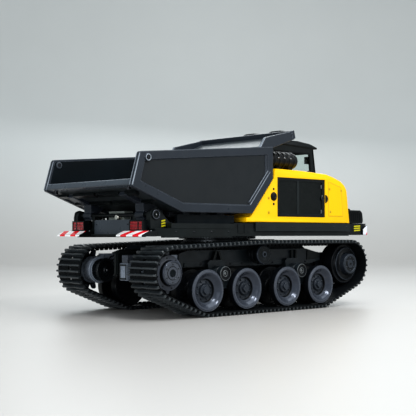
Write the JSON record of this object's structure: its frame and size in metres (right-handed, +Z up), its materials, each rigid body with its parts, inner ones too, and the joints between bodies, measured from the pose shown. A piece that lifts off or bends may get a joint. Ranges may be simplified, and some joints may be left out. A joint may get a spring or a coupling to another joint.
{
  "type": "tracked dump carrier",
  "caption": "Rubber-tracked undercarriage with rocking bogies carrying a slewing deck, engine hood, cab and a rear-hinged dump bed on a hydraulic hoist.",
  "frame": {"origin": "on the ground under the slew axis, at the middle of the machine's length and width", "axes": "+X forward (cab and engine end), +Y left, +Z up"},
  "size_m": [0.42, 0.1952, 0.246],
  "materials": {
    "chassis": "satin dark grey",
    "rubber_belt": "matt black rubber",
    "cast_grey": "satin grey",
    "motor_black": "semi-gloss black",
    "wheel_grey": "satin dark grey",
    "steel": "machined",
    "deck": "satin charcoal",
    "black_steel": "satin black",
    "yellow": "glossy yellow",
    "black_panel": "satin black",
    "gloss_black": "glossy black",
    "glass": "clear",
    "seat": "matt black",
    "amber": "clear amber",
    "marker": "white with red stripes",
    "red_lens": "ribbed red",
    "bed": "satin blue-grey"
  },
  "bodies": {
    "undercarriage": {"chassis_box": "chassis", "slew_ring_lower": "steel", "right_track_frame": "chassis", "right_track_belt": "rubber_belt", "right_drive_gearbox": "cast_grey", "right_drive_motor": "motor_black", "right_idler_yoke": "chassis", "left_track_frame": "chassis", "left_track_belt": "rubber_belt", "left_drive_gearbox": "cast_grey", "left_drive_motor": "motor_black", "left_idler_yoke": "chassis"},
    "dump_bed": {"dump_bed": "bed"},
    "engine_door": {"engine_door": "black_panel"},
    "cab_door": {"cab_door": "black_panel"},
    "hoist_barrel": {"hoist_barrel": "black_steel"},
    "hoist_rod": {"hoist_rod": "steel"},
    "upper": {"slew_ring_upper": "steel", "deck_frame": "deck", "bed_hinge_pin": "black_steel", "engine_hood": "yellow", "fuel_cap": "black_panel", "engine_block": "motor_black", "air_filter": "gloss_black", "cab_shell": "black_panel", "cab_roof": "black_panel", "cab_glass_right": "glass", "cab_glass_front": "glass", "cab_glass_rear": "glass", "cab_seat": "seat", "cab_console": "black_panel", "hydraulic_tank": "deck", "roof_lamp_right": "amber", "roof_lamp_left": "amber", "front_box": "black_panel", "front_bumper": "black_panel", "rear_marker_right": "marker", "front_marker_right": "marker", "tail_light_right": "red_lens", "rear_marker_left": "marker", "front_marker_left": "marker", "tail_light_left": "red_lens"},
    "right_sprocket": {"right_sprocket": "wheel_grey"},
    "right_idler": {"right_idler": "wheel_grey"},
    "right_carrier_roller": {"right_carrier_roller": "wheel_grey"},
    "right_bogie_rear": {"right_bogie_rear": "chassis"},
    "right_bogie_front": {"right_bogie_front": "chassis"},
    "right_road_wheel_1": {"right_road_wheel_1": "wheel_grey"},
    "right_road_wheel_2": {"right_road_wheel_2": "wheel_grey"},
    "right_road_wheel_3": {"right_road_wheel_3": "wheel_grey"},
    "right_road_wheel_4": {"right_road_wheel_4": "wheel_grey"},
    "left_sprocket": {"left_sprocket": "wheel_grey"},
    "left_idler": {"left_idler": "wheel_grey"},
    "left_carrier_roller": {"left_carrier_roller": "wheel_grey"},
    "left_bogie_rear": {"left_bogie_rear": "chassis"},
    "left_bogie_front": {"left_bogie_front": "chassis"},
    "left_road_wheel_1": {"left_road_wheel_1": "wheel_grey"},
    "left_road_wheel_2": {"left_road_wheel_2": "wheel_grey"},
    "left_road_wheel_3": {"left_road_wheel_3": "wheel_grey"},
    "left_road_wheel_4": {"left_road_wheel_4": "wheel_grey"}
  },
  "joints": [
    {"name": "slew", "type": "hinge", "parent": "undercarriage", "child": "upper", "pos_m": [0, 0, 0.093], "axis": [0, 0, 1], "continuous": true},
    {"name": "bed_tip", "type": "hinge", "parent": "upper", "child": "dump_bed", "pos_m": [-0.168, 0, 0.12], "axis": [0, -1, 0], "range_deg": [0, 50]},
    {"name": "hoist_swing", "type": "hinge", "parent": "upper", "child": "hoist_barrel", "pos_m": [-0.138, 0, 0.1015], "axis": [0, -1, 0], "range_deg": [0, 57.21]},
    {"name": "hoist_extend", "type": "slide", "parent": "hoist_barrel", "child": "hoist_rod", "axis": [0.9903, 0, 0.1389], "range_m": [0, 0.02595]},
    {"name": "engine_door_swing", "type": "hinge", "parent": "upper", "child": "engine_door", "pos_m": [0.025, -0.0857, 0.145], "axis": [0, 0, -1], "range_deg": [0, 90]},
    {"name": "cab_door_swing", "type": "hinge", "parent": "upper", "child": "cab_door", "pos_m": [0.0963, 0.0866, 0.165], "axis": [0, 0, 1], "range_deg": [0, 90]},
    {"name": "right_sprocket_spin", "type": "hinge", "parent": "undercarriage", "child": "right_sprocket", "pos_m": [-0.1565, -0.08, 0.053], "axis": [0, 1, 0], "continuous": true},
    {"name": "right_idler_spin", "type": "hinge", "parent": "undercarriage", "child": "right_idler", "pos_m": [0.1635, -0.08, 0.05675], "axis": [0, 1, 0], "continuous": true},
    {"name": "right_carrier_spin", "type": "hinge", "parent": "undercarriage", "child": "right_carrier_roller", "pos_m": [0, -0.08, 0.072], "axis": [0, 1, 0], "continuous": true},
    {"name": "right_bogie_rear_rock", "type": "hinge", "parent": "undercarriage", "child": "right_bogie_rear", "pos_m": [-0.0689, -0.08, 0.05], "axis": [0, 1, 0], "range_deg": [-1.5, 1.5]},
    {"name": "right_bogie_front_rock", "type": "hinge", "parent": "undercarriage", "child": "right_bogie_front", "pos_m": [0.0689, -0.08, 0.05], "axis": [0, 1, 0], "range_deg": [-1.5, 1.5]},
    {"name": "right_wheel_1_spin", "type": "hinge", "parent": "right_bogie_rear", "child": "right_road_wheel_1", "pos_m": [-0.1015, -0.08, 0.031], "axis": [0, 1, 0], "continuous": true},
    {"name": "right_wheel_2_spin", "type": "hinge", "parent": "right_bogie_rear", "child": "right_road_wheel_2", "pos_m": [-0.03625, -0.08, 0.031], "axis": [0, 1, 0], "continuous": true},
    {"name": "right_wheel_3_spin", "type": "hinge", "parent": "right_bogie_front", "child": "right_road_wheel_3", "pos_m": [0.03625, -0.08, 0.031], "axis": [0, 1, 0], "continuous": true},
    {"name": "right_wheel_4_spin", "type": "hinge", "parent": "right_bogie_front", "child": "right_road_wheel_4", "pos_m": [0.1015, -0.08, 0.031], "axis": [0, 1, 0], "continuous": true},
    {"name": "left_sprocket_spin", "type": "hinge", "parent": "undercarriage", "child": "left_sprocket", "pos_m": [-0.1565, 0.08, 0.053], "axis": [0, 1, 0], "continuous": true},
    {"name": "left_idler_spin", "type": "hinge", "parent": "undercarriage", "child": "left_idler", "pos_m": [0.1635, 0.08, 0.05675], "axis": [0, 1, 0], "continuous": true},
    {"name": "left_carrier_spin", "type": "hinge", "parent": "undercarriage", "child": "left_carrier_roller", "pos_m": [0, 0.08, 0.072], "axis": [0, 1, 0], "continuous": true},
    {"name": "left_bogie_rear_rock", "type": "hinge", "parent": "undercarriage", "child": "left_bogie_rear", "pos_m": [-0.0689, 0.08, 0.05], "axis": [0, 1, 0], "range_deg": [-1.5, 1.5]},
    {"name": "left_bogie_front_rock", "type": "hinge", "parent": "undercarriage", "child": "left_bogie_front", "pos_m": [0.0689, 0.08, 0.05], "axis": [0, 1, 0], "range_deg": [-1.5, 1.5]},
    {"name": "left_wheel_1_spin", "type": "hinge", "parent": "left_bogie_rear", "child": "left_road_wheel_1", "pos_m": [-0.1015, 0.08, 0.031], "axis": [0, 1, 0], "continuous": true},
    {"name": "left_wheel_2_spin", "type": "hinge", "parent": "left_bogie_rear", "child": "left_road_wheel_2", "pos_m": [-0.03625, 0.08, 0.031], "axis": [0, 1, 0], "continuous": true},
    {"name": "left_wheel_3_spin", "type": "hinge", "parent": "left_bogie_front", "child": "left_road_wheel_3", "pos_m": [0.03625, 0.08, 0.031], "axis": [0, 1, 0], "continuous": true},
    {"name": "left_wheel_4_spin", "type": "hinge", "parent": "left_bogie_front", "child": "left_road_wheel_4", "pos_m": [0.1015, 0.08, 0.031], "axis": [0, 1, 0], "continuous": true}
  ],
  "couplings": [
    {"joint": "hoist_swing", "follows": "bed_tip", "ratio": 1.144},
    {"joint": "hoist_extend", "follows": "bed_tip", "m_per_rad": 0.02973},
    {"joint": "right_idler_spin", "follows": "right_sprocket_spin", "ratio": 0.8492},
    {"joint": "right_carrier_spin", "follows": "right_sprocket_spin", "ratio": 1.7071},
    {"joint": "right_wheel_1_spin", "follows": "right_sprocket_spin", "ratio": 0.9269},
    {"joint": "right_wheel_2_spin", "follows": "right_sprocket_spin", "ratio": 0.9269},
    {"joint": "right_wheel_3_spin", "follows": "right_sprocket_spin", "ratio": 0.9269},
    {"joint": "right_wheel_4_spin", "follows": "right_sprocket_spin", "ratio": 0.9269},
    {"joint": "left_idler_spin", "follows": "left_sprocket_spin", "ratio": 0.8492},
    {"joint": "left_carrier_spin", "follows": "left_sprocket_spin", "ratio": 1.7071},
    {"joint": "left_wheel_1_spin", "follows": "left_sprocket_spin", "ratio": 0.9269},
    {"joint": "left_wheel_2_spin", "follows": "left_sprocket_spin", "ratio": 0.9269},
    {"joint": "left_wheel_3_spin", "follows": "left_sprocket_spin", "ratio": 0.9269},
    {"joint": "left_wheel_4_spin", "follows": "left_sprocket_spin", "ratio": 0.9269}
  ]
}
